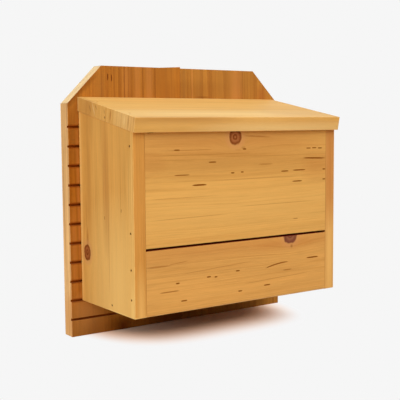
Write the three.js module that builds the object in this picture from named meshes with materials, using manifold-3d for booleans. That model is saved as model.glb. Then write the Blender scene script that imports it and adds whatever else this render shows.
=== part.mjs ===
// Bat box: a three-chamber roosting box on a grooved back plate, open below, with a sloping roof.
// Millimetres. +X is to the right as seen from the front, +Y points at the wall, +Z is up.
// The origin is on the back plate's rear face, halfway across it and halfway up it.
// Left and right in the names are as seen from the front.

import * as THREE from "three";
import { mergeVertices } from "three/addons/utils/BufferGeometryUtils.js";
import Module from "manifold-3d";

const wasm = await Module();
wasm.setup();

// Box: two sides, with an upper and a lower front board let in between them.
// Its height is from the sides' bottom to the roof's top at the plate.
const boxWidth = 324;
const boxHeight = 268;
const boxDepth = 138;
const boardThickness = 16;
const lowerFrontShare = 0.3;
const airSlotWidth = 3;
const roofShadowGap = 1;

// Back plate: two upright boards edge to edge, standing out round the box, both top corners cut off
const plateSideMargin = 15.5;
const plateAboveRoof = 41.5;
const plateBelowBox = 48;
const plateThickness = 21;
const cornerCut = 50;
const seamOffset = 2.5;
const seamRise = 2;
const seamRiseRun = 35;

// Landing grooves: saw kerfs across the plate and the roost boards
const grooveWidth = 3;
const grooveDepth = 3;
const groovePitch = 25.4;
const firstGrooveHeight = 23.4;

// Roof: one board, square at the front edge and bevelled to the plate at the back
const roofSlope = THREE.MathUtils.degToRad(10.8);
const roofThickness = 18;
const roofFrontOverhang = 9;
const roofSideOverhang = 1.5;

// Roost boards: two partitions let into dadoes in the sides
const roostThickness = 12;
const roostDepthShares = [0.31, 0.667];
const roostPassage = 20;
const dadoDepth = 4;

// Brads: driven through the sides and the roof, with their heads set below the surface
const brad = {
  headDiameter: 2.6,
  headDepth: 1,
  headRim: 1,
  shankDiameter: 1.6,
  pointLength: 2.5,
  length: 35,
  sink: 0.5,
};
const upperBradTopInset = 17.5;
const upperBradBottomInset = 19;
const lowerBradInset = 22;
const roostBradInset = 7.5;
const roofBradRearInset = 38.5;
const roofBradFrontInset = 20;

// Screws: driven from behind through the plate, with countersunk heads
const screw = {
  headDiameter: 8,
  headDepth: 2.8,
  headRim: 0.6,
  shankDiameter: 4,
  pointLength: 5,
  length: 40,
  sink: 0.4,
};
const sideScrewHeightShares = [0.16, 0.46, 0.76];
const roofScrewAcrossShares = [0.25, 0.7];
const roofScrewDropShare = 0.62;

// Clearances
const seatGap = 0.3;
const overrun = 5;
const roundSegments = 12;

// Places worked out from the sizes above
const plateFaceY = -plateThickness;
const boxFrontY = plateFaceY - boxDepth;
const frontBoardRearY = boxFrontY + boardThickness;
const frontBoardMiddleY = boxFrontY + boardThickness / 2;
const innerWidth = boxWidth - 2 * boardThickness;
const sideMiddleX = boxWidth / 2 - boardThickness / 2;
const boxBottom = plateBelowBox;
const lowerFrontTop = boxBottom + lowerFrontShare * boxHeight;
const upperFrontBottom = lowerFrontTop + airSlotWidth;
const roofBackHeight = boxBottom + boxHeight;
const plateWidth = boxWidth + 2 * plateSideMargin;
const plateHeight = roofBackHeight + plateAboveRoof;
const roostMiddles = roostDepthShares.map((share) => plateFaceY + share * (frontBoardRearY - plateFaceY));

// Height of the roof's upper and lower face at a depth
function roofTop(y) {
  return roofBackHeight + (y - plateFaceY) * Math.tan(roofSlope);
}
function roofUnderside(y) {
  return roofTop(y) - roofThickness / Math.cos(roofSlope);
}

// Solids: outlines drawn in a plane and extruded, then cut by each other
function toSolid(geometry) {
  const bare = geometry.clone();
  bare.deleteAttribute("normal");
  bare.deleteAttribute("uv");
  const merged = mergeVertices(bare);
  const mesh = new wasm.Mesh({
    numProp: 3,
    vertProperties: new Float32Array(merged.attributes.position.array),
    triVerts: new Uint32Array(merged.index.array),
  });
  return new wasm.Manifold(mesh);
}
function toGeometry(solid) {
  const mesh = solid.getMesh();
  const geometry = new THREE.BufferGeometry();
  geometry.setAttribute("position", new THREE.BufferAttribute(mesh.vertProperties, 3));
  geometry.setIndex(new THREE.BufferAttribute(mesh.triVerts, 1));
  const faceted = geometry.toNonIndexed();
  faceted.computeVertexNormals();
  return faceted;
}
function extrude(outline, depth) {
  const shape = new THREE.Shape(outline.map(([a, b]) => new THREE.Vector2(a, b)));
  return new THREE.ExtrudeGeometry(shape, { depth, bevelEnabled: false });
}

// A prism along X from a side view: each point is (y, z)
function prismAlongX(sideView, fromX, toX) {
  const turn = new THREE.Matrix4().makeBasis(
    new THREE.Vector3(0, 1, 0),
    new THREE.Vector3(0, 0, 1),
    new THREE.Vector3(1, 0, 0),
  );
  return extrude(sideView, toX - fromX).applyMatrix4(turn).translate(fromX, 0, 0);
}

// A prism along Y from a front view: each point is (x, z)
function prismAlongY(frontView, fromY, toY) {
  return extrude(frontView, toY - fromY).rotateX(Math.PI / 2).translate(0, toY, 0);
}

// Heights of the landing grooves that lie between two heights
function grooveHeights(from, to) {
  const heights = [];
  for (let z = firstGrooveHeight; z < to; z += groovePitch) {
    if (z > from) heights.push(z);
  }
  return heights;
}

// Side view of an upright board with a saw kerf in its front face at each height
function kerfedSideView(rearY, frontY, bottom, top, heights) {
  const points = [[rearY, bottom], [frontY, bottom]];
  for (const z of heights) {
    points.push([frontY, z - grooveWidth / 2], [frontY + grooveDepth, z - grooveWidth / 2]);
    points.push([frontY + grooveDepth, z + grooveWidth / 2], [frontY, z + grooveWidth / 2]);
  }
  points.push([frontY, top], [rearY, top]);
  return points;
}

// Fasteners: turned about their own axis, the head's top at the origin and the point along -Y
function fastenerGeometry(kind, clearance, headReach) {
  const shank = kind.shankDiameter / 2 + clearance;
  const head = kind.headDiameter / 2 + clearance;
  const profile = [
    [0, -kind.length - clearance],
    [shank, kind.pointLength - kind.length],
    [shank, -kind.headDepth - clearance],
    [head, -kind.headRim - clearance],
    [head, headReach],
    [0, headReach],
  ];
  return new THREE.LatheGeometry(profile.map(([r, y]) => new THREE.Vector2(r, y)), roundSegments);
}

// Where a fastener enters a surface and which way it runs
function fastener(name, kind, entry, direction) {
  const run = new THREE.Vector3(...direction);
  const turn = new THREE.Quaternion().setFromUnitVectors(new THREE.Vector3(0, -1, 0), run);
  const place = new THREE.Vector3(...entry).addScaledVector(run, kind.sink);
  return { name, kind, turn, place };
}
function holeFor({ kind, turn, place }) {
  const hole = fastenerGeometry(kind, seatGap, kind.sink + overrun);
  return toSolid(hole.applyQuaternion(turn).translate(place.x, place.y, place.z));
}

const sides = [
  { side: "left", sign: -1 },
  { side: "right", sign: 1 },
];

// Brads through one side into the ends of both front boards and of the front roost board
function sideBrads({ side, sign }) {
  const upperTop = roofUnderside(frontBoardMiddleY) - roofShadowGap;
  const places = [
    ["upper_brad_" + side + "_high", frontBoardMiddleY, upperTop - upperBradTopInset],
    ["upper_brad_" + side + "_low", frontBoardMiddleY, upperFrontBottom + upperBradBottomInset],
    ["lower_brad_" + side + "_high", frontBoardMiddleY, lowerFrontTop - lowerBradInset],
    ["lower_brad_" + side + "_low", frontBoardMiddleY, boxBottom + lowerBradInset],
    ["roost_brad_" + side, roostMiddles[1], boxBottom + roostBradInset],
  ];
  return places.map(([name, y, z]) => fastener(name, brad, [(sign * boxWidth) / 2, y, z], [-sign, 0, 0]));
}

// Brads square through the roof into the top edge of one side
function roofBrads({ side, sign }) {
  const places = [
    ["roof_brad_" + side + "_rear", plateFaceY - roofBradRearInset],
    ["roof_brad_" + side + "_front", boxFrontY + roofBradFrontInset],
  ];
  const inwards = [0, Math.sin(roofSlope), -Math.cos(roofSlope)];
  return places.map(([name, y]) => fastener(name, brad, [sign * sideMiddleX, y, roofTop(y)], inwards));
}

// Screws from behind into the rear edge of one side and into the rear edge of the roof
function plateScrews({ side, sign }) {
  const sideHeight = roofUnderside(plateFaceY) - boxBottom;
  const roofWidth = boxWidth + 2 * roofSideOverhang;
  const intoSide = sideScrewHeightShares.map((share, i) => [
    "side_screw_" + side + "_" + (i + 1),
    sign * sideMiddleX,
    boxBottom + share * sideHeight,
  ]);
  const intoRoof = roofScrewAcrossShares.map((share, i) => [
    "roof_screw_" + side + "_" + (i + 1),
    (sign * share * roofWidth) / 2,
    roofBackHeight - roofScrewDropShare * roofThickness,
  ]);
  return [...intoSide, ...intoRoof].map(([name, x, z]) => fastener(name, screw, [x, 0, z], [0, -1, 0]));
}

const brads = sides.flatMap((s) => [...sideBrads(s), ...roofBrads(s)]);
const screws = sides.flatMap(plateScrews);
const holes = wasm.Manifold.union([...brads, ...screws].map(holeFor));

// Back board: the kerfed slab, trimmed to its outline
function backBoard({ side, sign }) {
  const outerX = (sign * plateWidth) / 2;
  const seamX = (sign * seatGap) / 2 - seamOffset;
  const rise = side === "left" ? seamRise : 0;
  const kerfs = grooveHeights(0, roofUnderside(plateFaceY));
  const sideView = kerfedSideView(0, plateFaceY, 0, plateHeight + rise, kerfs);
  const slab = toSolid(prismAlongX(sideView, Math.min(outerX, seamX), Math.max(outerX, seamX)));
  const frontView = [
    [outerX, -overrun],
    [seamX, -overrun],
    [seamX, plateHeight + rise],
    [seamX + sign * seamRiseRun, plateHeight],
    [outerX - sign * cornerCut, plateHeight],
    [outerX, plateHeight - cornerCut],
  ];
  return slab.intersect(toSolid(prismAlongY(frontView, plateFaceY - overrun, overrun)));
}

// Side board: its top edge follows the roof, and its inner face has a dado for each roost board
function sideBoard({ sign }) {
  const rearY = plateFaceY - seatGap;
  const sideView = [
    [rearY, boxBottom],
    [boxFrontY, boxBottom],
    [boxFrontY, roofUnderside(boxFrontY) - seatGap],
    [rearY, roofUnderside(rearY) - seatGap],
  ];
  const inner = innerWidth / 2;
  const from = sign > 0 ? inner : -boxWidth / 2;
  const board = toSolid(prismAlongX(sideView, from, from + boardThickness));
  const dadoes = roostMiddles.map((middle) => dado(sign, inner, middle));
  return board.subtract(wasm.Manifold.union(dadoes));
}
function dado(sign, inner, middleY) {
  const top = roostTop(middleY) + seatGap;
  const rear = middleY + roostThickness / 2 + seatGap;
  const front = middleY - roostThickness / 2 - seatGap;
  const bottom = boxBottom - overrun;
  const sideView = [[rear, bottom], [front, bottom], [front, top], [rear, top]];
  const from = sign > 0 ? inner - overrun : -inner - dadoDepth;
  return toSolid(prismAlongX(sideView, from, from + dadoDepth + overrun));
}

// Front board: its top edge is square at the air slot, or bevelled under the roof
function frontBoard(bottom, topAt) {
  const sideView = [
    [frontBoardRearY, bottom],
    [boxFrontY, bottom],
    [boxFrontY, topAt(boxFrontY)],
    [frontBoardRearY, topAt(frontBoardRearY)],
  ];
  const half = innerWidth / 2 - seatGap;
  return toSolid(prismAlongX(sideView, -half, half));
}

// Roof board
function roofBoard() {
  const rearY = plateFaceY - seatGap;
  const frontY = boxFrontY - roofFrontOverhang;
  const sideView = [
    [rearY, roofUnderside(rearY)],
    [frontY + roofThickness * Math.sin(roofSlope), roofTop(frontY) - roofThickness * Math.cos(roofSlope)],
    [frontY, roofTop(frontY)],
    [rearY, roofTop(rearY)],
  ];
  const half = boxWidth / 2 + roofSideOverhang;
  return toSolid(prismAlongX(sideView, -half, half));
}

// Roost board: kerfed on its front face, its top edge a passage's height under the roof
function roostTop(middleY) {
  return roofUnderside(middleY - roostThickness / 2) - roostPassage;
}
function roostBoard(middleY) {
  const top = roostTop(middleY);
  const rear = middleY + roostThickness / 2;
  const front = middleY - roostThickness / 2;
  const kerfs = grooveHeights(boxBottom + groovePitch / 2, top - groovePitch / 2);
  const sideView = kerfedSideView(rear, front, boxBottom, top, kerfs);
  const half = innerWidth / 2 + dadoDepth - seatGap;
  return toSolid(prismAlongX(sideView, -half, half));
}

// Finishes
const honeyPine = { color: 0xd89c55, roughness: 0.55, metalness: 0 };
const palePine = { color: 0xe6b873, roughness: 0.5, metalness: 0 };
const deepPine = { color: 0xb5702f, roughness: 0.6, metalness: 0 };
const dullSteel = { color: 0x6b5138, roughness: 0.5, metalness: 0.8 };
const zincSteel = { color: 0xb4ad9c, roughness: 0.4, metalness: 0.9 };

const batBox = new THREE.Group();
batBox.position.z = -plateHeight / 2;

function addBoard(name, solid, finish) {
  const mesh = new THREE.Mesh(toGeometry(solid.subtract(holes)), new THREE.MeshStandardMaterial(finish));
  mesh.name = name;
  batBox.add(mesh);
}
function addFastener({ name, kind, turn, place }, finish) {
  const mesh = new THREE.Mesh(fastenerGeometry(kind, 0, 0), new THREE.MeshStandardMaterial(finish));
  mesh.name = name;
  mesh.position.copy(place);
  mesh.quaternion.copy(turn);
  batBox.add(mesh);
}

for (const s of sides) {
  addBoard("back_board_" + s.side, backBoard(s), deepPine);
  addBoard("side_board_" + s.side, sideBoard(s), honeyPine);
}
addBoard("upper_front", frontBoard(upperFrontBottom, (y) => roofUnderside(y) - roofShadowGap), honeyPine);
addBoard("lower_front", frontBoard(boxBottom, () => lowerFrontTop), honeyPine);
addBoard("roof", roofBoard(), palePine);
addBoard("rear_roost", roostBoard(roostMiddles[0]), honeyPine);
addBoard("front_roost", roostBoard(roostMiddles[1]), honeyPine);
brads.forEach((b) => addFastener(b, dullSteel));
screws.forEach((s) => addFastener(s, zincSteel));

export default batBox;
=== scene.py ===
"""Bat box of stained pine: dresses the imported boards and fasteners, and sets the studio round them."""

import logging
import math
from dataclasses import dataclass, replace
from enum import Enum
from functools import cached_property, partialmethod

import bmesh
import bpy
from mathutils import Matrix, Vector


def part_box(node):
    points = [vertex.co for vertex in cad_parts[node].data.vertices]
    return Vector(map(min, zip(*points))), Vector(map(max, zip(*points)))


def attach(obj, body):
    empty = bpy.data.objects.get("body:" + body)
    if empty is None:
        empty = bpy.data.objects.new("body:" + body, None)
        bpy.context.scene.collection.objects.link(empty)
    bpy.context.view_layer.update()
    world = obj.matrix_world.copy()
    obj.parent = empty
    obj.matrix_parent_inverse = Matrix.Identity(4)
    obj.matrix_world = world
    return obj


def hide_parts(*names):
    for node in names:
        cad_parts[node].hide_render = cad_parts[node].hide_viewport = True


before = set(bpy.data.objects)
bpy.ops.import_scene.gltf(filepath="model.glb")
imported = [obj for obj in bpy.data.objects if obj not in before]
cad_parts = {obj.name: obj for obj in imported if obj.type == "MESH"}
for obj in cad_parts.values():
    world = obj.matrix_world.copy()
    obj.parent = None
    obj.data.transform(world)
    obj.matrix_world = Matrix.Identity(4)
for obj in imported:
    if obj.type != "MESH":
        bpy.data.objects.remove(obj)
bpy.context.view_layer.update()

LOG = logging.getLogger("bat_box")
MM = 0.001
FOOT = -178.75
PLATE_FRONT = -21.0
BOX_FRONT = -159.0
BOX_SIDE = 162.0
ROOF_SLOPE = math.radians(10.8)
KERF_PITCH = 25.4
KERF_FIRST = 23.4 + FOOT
HEAD_TOP = 0.02 * MM
SAME_POINT = 1e-7
Socket = bpy.types.NodeSocket
Feed = Socket | float | tuple
Feeds = dict[int | str, Feed]
Color = tuple[float, float, float, float]
Triple = tuple[float, float, float]
Profile = list[tuple[float, float]]


def tint(*levels: int) -> Color:
    """Turn a screen colour's red, green and blue, each from 0 to 255, into a linear colour."""
    lit = (level / 255 for level in levels)
    return (*(share / 12.92 if share <= 0.04045 else ((share + 0.055) / 1.055) ** 2.4 for share in lit), 1.0)


class Lay(Enum):
    """Which way a board's grain runs, and which way its face looks."""

    ACROSS = "grain along X, face along Y"
    UPRIGHT_SIDE = "grain along Z, face along X"
    UPRIGHT_BACK = "grain along Z, face along Y"
    ROOF = "grain along X, face square to the roof's slope"


class Stain(Enum):
    """What a mark on a board is: resin, a brown streak, reddish heartwood or a paler band. Some marks of each
    kind are painted shade or painted highlight instead, as noted where the marks are listed.
    """

    RESIN = "dark resin pocket"
    BROWN = "brown mineral streak"
    RED = "reddish heartwood"
    PALE = "paler band"


RESIN, BROWN, RED, PALE = Stain


@dataclass(frozen=True)
class Mark:
    """One spot, fleck, streak or band on a board's face, in millimetres; some marks are painted shade or
    painted highlight.

    Along runs with the grain and across runs over the face. Slope is its rise per millimetre
    along, and bow is how far its middle stands out of a straight line. Soft is the share of it
    that fades. Deep is how far it lies below the face, and thick how far it reaches up and down
    from there, or None for half its width and at least 6 mm. Lean is how far it shifts across
    per millimetre of depth.
    """

    stain: Stain
    along: float
    across: float
    length: float
    width: float
    strength: float = 1.0
    slope: float = 0.0
    bow: float = 0.0
    soft: float = 0.35
    deep: float = 0.0
    thick: float | None = None
    lean: float = 0.0


def marks(stain: Stain, *rows: tuple[float, ...], **shared: float) -> tuple[Mark, ...]:
    """Make marks of one stain, each from a row of its first fields and the values they share."""
    return tuple(Mark(stain, *row, **shared) for row in rows)


@dataclass(frozen=True)
class Knot:
    """One knot that runs through a board, in millimetres, with its radius across the grain."""

    along: float
    across: float
    radius: float
    squash: float = 0.85
    strength: float = 1.0


@dataclass(frozen=True)
class PineFinish:
    """The colours and gloss of one batch of stained pine."""

    early: Color
    late: Color
    end: Color
    edge: Color
    kerf: Color = tint(156, 76, 12)
    # Dark resin, and also the colour of the painted shade marks that share its stain.
    resin: Color = tint(106, 46, 0)
    knot: Color = tint(172, 102, 54)
    heart: Color = tint(126, 62, 16)
    halo: Color = tint(214, 152, 94)
    brown: Color = tint(164, 98, 36)
    red: Color = tint(196, 116, 52)
    pale: Color = tint(240, 190, 108)
    # The arris colour is partly wear and partly a painted highlight along the edges.
    arris: Color = tint(248, 202, 124)
    roughness: float = 0.5
    ring_contrast: float = 0.24
    streak_contrast: float = 0.4
    end_contrast: float = 0.45


@dataclass(frozen=True)
class BoardLook:
    """How one board was sawn from its log, and what shows on its face."""

    name: str
    lay: Lay
    finish: PineFinish
    face: float
    outward: bool = False
    pith: tuple[float, float] = (40.0, 90.0)
    ring_width: float = 2.6
    wander: float = 5.0
    seed: float = 0.0
    fleck_share: float = 0.12
    kerf_span: tuple[float, float] | None = None
    marks: tuple[Mark, ...] = ()
    knots: tuple[Knot, ...] = ()


class Tree:
    """A node tree with short calls for the nodes that the finishes use."""

    def __init__(self, tree: bpy.types.NodeTree) -> None:
        """Keep the tree."""
        self.tree = tree

    @classmethod
    def of(cls, owner: bpy.types.Material | bpy.types.World) -> "Tree":
        """Empty the node tree of a material or a world, to fill it anew.

        Args:
            owner: The material or the world.

        Returns:
            Its tree.
        """
        owner.use_nodes = True
        owner.node_tree.nodes.clear()
        return cls(owner.node_tree)

    def fill(self, sockets: bpy.types.bpy_prop_collection, feeds: Feeds) -> None:
        """Link each socket that is named, or set its value.

        Args:
            sockets: The inputs to fill.
            feeds: Output sockets or constants by number, or by name with underscores for spaces.
        """
        for key, value in feeds.items():
            socket = sockets[key.replace("_", " ") if isinstance(key, str) else key]
            if isinstance(value, Socket):
                self.tree.links.new(value, socket)
            else:
                socket.default_value = value

    def add(self, kind: str, feeds: Feeds | None = None, **settings: object) -> bpy.types.Node:
        """Add a shader node.

        Args:
            kind: The node's type name after ShaderNode.
            feeds: What its inputs get.
            **settings: Properties to set on it.

        Returns:
            The new node.
        """
        node = self.tree.nodes.new(f"ShaderNode{kind}")
        for key, value in settings.items():
            setattr(node, key, value)
        self.fill(node.inputs, feeds or {})
        return node

    def math(self, operation: str, *values: Feed, clamp: bool = False) -> Socket:
        """Work out a number, kept between 0 and 1 if clamp is set."""
        return self.add("Math", dict(enumerate(values)), operation=operation, use_clamp=clamp).outputs[0]

    plus = partialmethod(math, "ADD")
    minus = partialmethod(math, "SUBTRACT")
    times = partialmethod(math, "MULTIPLY")
    over = partialmethod(math, "DIVIDE")
    larger = partialmethod(math, "MAXIMUM")
    size = partialmethod(math, "ABSOLUTE")
    times_plus = partialmethod(math, "MULTIPLY_ADD")

    def vector(self, operation: str, *values: Feed) -> Socket:
        """Work out a vector, or a number for LENGTH and DOT_PRODUCT."""
        node = self.add("VectorMath", dict(enumerate(values)), operation=operation)
        return node.outputs["Value" if operation in ("LENGTH", "DOT_PRODUCT") else "Vector"]

    def scale(self, vector: Feed, share: Feed) -> Socket:
        """Scale a vector or a colour by a number."""
        return self.add("VectorMath", {0: vector, "Scale": share}, operation="SCALE").outputs[0]

    def ease(self, value: Feed, low: float, high: float, start: float = 0.0, end: float = 1.0) -> Socket:
        """Ease from start to end while a number goes from low to high."""
        feeds = {"Value": value, "From_Min": low, "From_Max": high, "To_Min": start, "To_Max": end}
        return self.add("MapRange", feeds, interpolation_type="SMOOTHSTEP").outputs["Result"]

    def blend(self, share: Feed, first: Feed, second: Feed) -> Socket:
        """Blend two colours by the share of the second one."""
        return self.add("Mix", {0: share, 6: first, 7: second}, data_type="RGBA").outputs[2]

    def noise(self, place: Socket, stretch: Triple, detail: float = 2.0) -> Socket:
        """Add a noise from 0 to 1, with its waves per metre along, across and through the board."""
        feeds = {"Vector": self.vector("MULTIPLY", place, stretch), "Scale": 1.0, "Detail": detail}
        return self.add("TexNoise", feeds).outputs["Fac"]

    def parts(self, vector: Socket) -> tuple[Socket, ...]:
        """Split a vector into its three numbers."""
        return tuple(self.add("SeparateXYZ", {0: vector}).outputs)

    def join(self, *values: Feed) -> Socket:
        """Join three numbers into a vector."""
        return self.add("CombineXYZ", dict(enumerate(values))).outputs[0]

    def group(self, tree: bpy.types.NodeTree, **inputs: Feed) -> bpy.types.bpy_prop_collection:
        """Place a node group with its inputs filled, and give its outputs."""
        return self.add("Group", inputs, node_tree=tree).outputs

    def mix(self, share: Feed, first: bpy.types.Node, second: bpy.types.Node) -> bpy.types.Node:
        """Mix two shaders by the share of the second one."""
        return self.add("MixShader", {0: share, 1: first.outputs[0], 2: second.outputs[0]})

    def show(self, shader: bpy.types.Node, kind: str = "Material") -> None:
        """Put a shader out as the tree's surface."""
        self.add(f"Output{kind}", {"Surface": shader.outputs[0]})

    def surface(self, height: Feed, strength: float, distance: float, **inputs: Feed) -> None:
        """Put out a surface whose bump stands out by a distance, in metres, for a height of 1."""
        bump = self.add("Bump", {"Height": height, "Strength": strength, "Distance": distance})
        self.show(self.add("BsdfPrincipled", {"Normal": bump.outputs["Normal"], **inputs}))


class Effect:
    """A shader node group under construction, with its own entry and exit."""

    def __init__(self, name: str, vectors: str, numbers: str, results: str, flow: str = "") -> None:
        """Make the group and its sockets, whose names have underscores for spaces.

        Args:
            name: The group's name.
            vectors: The names of its vector inputs.
            numbers: The names of its number inputs, which come after them.
            results: The names of its number outputs.
            flow: The name of its vector output, if it has one.
        """
        self.group = bpy.data.node_groups.new(name, "ShaderNodeTree")
        ways = (("INPUT", "Vector", vectors), ("INPUT", "Float", numbers))
        for way, kind, names in (*ways, ("OUTPUT", "Float", results), ("OUTPUT", "Vector", flow)):
            for key in names.split():
                socket = f"NodeSocket{kind}"
                self.group.interface.new_socket(name=key.replace("_", " "), in_out=way, socket_type=socket)
        self.tree = Tree(self.group)
        self.entry = self.group.nodes.new("NodeGroupInput").outputs[:-1]

    def give(self, **results: Feed) -> bpy.types.NodeTree:
        """Fill the outputs and give the finished group."""
        self.tree.fill(self.group.nodes.new("NodeGroupOutput").inputs, results)
        return self.group


class Effects:
    """The shared effects that the finishes of boards and fasteners are put together from, each made once."""

    SOAKED = 0.7
    SOAKED_BESIDE = (1.6 * MM, 4.2 * MM)
    SOAKED_BELOW = (0.3 * MM, 3.5 * MM)
    BEND = -0.92
    BEND_LENGTH = 0.45
    MARK_TAPER = 1.8

    @cached_property
    def grain(self) -> bpy.types.NodeTree:
        """Growth rings about a pith line, with slow tone changes and fine fibres.

        Returns:
            The group, whose Vector runs along, across and through the board.
        """
        results = "Rings Streaks Tone Fibre Height"
        made = Effect("pine grain", "Vector Pith", "Ring_Width Wander Seed", results)
        tree, (vector, pith, ring_width, wander, seed) = made.tree, made.entry
        shifted = tree.vector("ADD", vector, tree.join(seed, seed, seed))
        slow = tree.noise(shifted, (4.0, 16.0, 16.0), 1.0)
        quick = tree.noise(shifted, (14.0, 90.0, 90.0), 2.0)
        sway = tree.plus(tree.minus(slow, 0.5), tree.times(tree.minus(quick, 0.5), 0.25))
        flat = tree.vector("MULTIPLY", tree.vector("SUBTRACT", vector, pith), (0.0, 1.0, 1.0))
        radius = tree.plus(tree.vector("LENGTH", flat), tree.times(sway, wander))
        spread = tree.add("TexNoise", {"W": tree.times(radius, 60.0), "Scale": 1.0}, noise_dimensions="1D")
        uneven = tree.times(spread.outputs["Fac"], 4.0)
        phase = tree.plus(tree.over(radius, ring_width), uneven)
        year = tree.add("TexWhiteNoise", {"W": tree.math("FLOOR", phase)}, noise_dimensions="1D")
        season = tree.math("FRACT", phase)
        rise = tree.ease(season, 0.15, 0.88)
        fall = tree.ease(season, 0.9, 1.0, 1.0, 0.0)
        depth = tree.times_plus(year.outputs["Value"], 0.75, 0.25)
        rings = tree.times(tree.times(rise, fall), depth)
        fibre = tree.noise(shifted, (55.0, 1300.0, 1300.0), 3.0)
        long_streaks = tree.ease(tree.noise(shifted, (5.0, 240.0, 240.0), 3.0), 0.5, 0.72)
        short_streaks = tree.ease(tree.noise(shifted, (17.0, 520.0, 520.0), 2.0), 0.56, 0.76)
        streaks = tree.times_plus(short_streaks, 0.5, tree.times(long_streaks, 0.7), clamp=True)
        broad = tree.noise(shifted, (2.5, 26.0, 26.0), 3.0)
        mottled = tree.noise(shifted, (9.0, 130.0, 130.0), 2.0)
        tone = tree.times_plus(mottled, 0.4, tree.times(broad, 0.6))
        height = tree.plus(tree.times(rings, 0.5), tree.times(fibre, 0.5))
        return made.give(Rings=rings, Streaks=streaks, Tone=tone, Fibre=fibre, Height=height)

    @cached_property
    def knot(self) -> bpy.types.NodeTree:
        """A knot with its rim and rings, and the grain that flows round it.

        Returns:
            The group, whose Grain output is the grain's vector bent round the knot.
        """
        made = Effect("round knot", "Vector Grain Place", "Radius Squash", "Core Shade Halo", "Grain")
        tree, (vector, grain, place, radius, squash) = made.tree, made.entry
        lump = tree.times(tree.minus(tree.noise(vector, (160.0, 160.0, 0.0)), 0.5), 0.35)
        offset = tree.vector("SUBTRACT", vector, place)
        along, across, _ = tree.parts(offset)
        oval = tree.vector("LENGTH", tree.join(tree.times(along, squash), across, 0.0))
        reach = tree.plus(tree.over(oval, radius), lump)
        core = tree.ease(reach, 0.85, 1.1, 1.0, 0.0)
        rim = tree.times(tree.ease(reach, 0.45, 0.85), tree.ease(reach, 0.98, 1.15, 1.0, 0.0))
        pith = tree.ease(tree.size(tree.minus(reach, 0.28)), 0.05, 0.18, 1.0, 0.0)
        rings = tree.times(tree.math("PINGPONG", tree.times(reach, 4.5), 1.0), 0.6)
        patchy = tree.times_plus(tree.noise(vector, (420.0, 420.0, 0.0)), 1.3, 0.35, clamp=True)
        shade = tree.times(tree.larger(tree.larger(rim, pith), rings), patchy)
        halo = tree.ease(reach, 1.15, 1.9, 1.0, 0.0)
        long_oval = tree.vector("LENGTH", tree.join(tree.times(along, self.BEND_LENGTH), across, 0.0))
        pull = tree.math("POWER", tree.over(radius, tree.larger(long_oval, radius)), 2.0)
        bend = tree.times(tree.times(across, pull), self.BEND)
        bent = tree.vector("ADD", grain, tree.join(0.0, bend, 0.0))
        return made.give(Core=core, Shade=tree.times(shade, core), Halo=halo, Grain=bent)

    @cached_property
    def mark(self) -> bpy.types.NodeTree:
        """One long lens-shaped mark in the wood, ragged at its edge.

        Returns:
            The group, whose Mask is 1 inside the mark.
        """
        made = Effect("grain mark", "Vector Place Size", "Ragged Soft Slope Bow Lean", "Mask")
        tree, (vector, place, size, ragged, soft, slope, bow, lean) = made.tree, made.entry
        along, across, deep = tree.parts(tree.vector("SUBTRACT", vector, place))
        run, rise, depth = tree.parts(size)
        share = tree.over(along, run)
        arc = tree.times(bow, tree.minus(tree.times(share, share), 1.0))
        level = tree.minus(across, tree.times(along, slope))
        upright = tree.minus(level, tree.times(deep, lean))
        straight = tree.plus(upright, arc)
        reach = tree.join(
            tree.math("POWER", tree.size(share), self.MARK_TAPER),
            tree.over(straight, rise),
            tree.over(deep, depth),
        )
        rough = tree.minus(tree.noise(vector, (170.0, 900.0, 900.0)), 0.5)
        distance = tree.times_plus(rough, ragged, tree.vector("LENGTH", reach))
        mask = tree.over(tree.minus(1.0, distance), soft, clamp=True)
        return made.give(Mask=mask)

    @cached_property
    def flecks(self) -> bpy.types.NodeTree:
        """Scattered short flecks along the grain, a few to a board.

        Returns:
            The group, whose Mask is 1 on a fleck.
        """
        made = Effect("scattered flecks", "Vector", "Share Seed", "Mask")
        tree, (vector, share, seed) = made.tree, made.entry
        shifted = tree.vector("ADD", vector, tree.join(seed, 0.0, 0.0))
        stretched = tree.vector("MULTIPLY", shifted, (16.0, 75.0, 75.0))
        cells = tree.add("TexVoronoi", {"Vector": stretched, "Scale": 1.0}).outputs
        chosen = tree.math("LESS_THAN", tree.parts(cells["Color"])[0], share)
        near = tree.ease(cells["Distance"], 0.05, 0.11, 1.0, 0.0)
        return made.give(Mask=tree.times(chosen, near))

    @cached_property
    def wear_and_highlight(self) -> bpy.types.NodeTree:
        """Arrises rubbed paler, partly as wear and partly as a painted highlight, and the faces of kerfs and
        of the air slot left darker, which in the slot is painted shade; both read from marks on the faces.

        Returns:
            The group with an Arris mask and a Kerf mask.
        """
        made = Effect("edge wear", "Vector", "Worn_Share", "Arris Kerf")
        tree, (vector, worn_and_lit_share) = made.tree, made.entry
        arris = tree.add("Attribute", attribute_name="arris").outputs["Fac"]
        kerf = tree.add("Attribute", attribute_name="kerf").outputs["Fac"]
        patchy = tree.ease(tree.noise(vector, (60.0, 60.0, 60.0)), 0.3, 0.7, 0.45, 1.0)
        worn_and_lit = tree.times(tree.times(arris, patchy), worn_and_lit_share)
        return made.give(Arris=worn_and_lit, Kerf=kerf)

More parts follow.
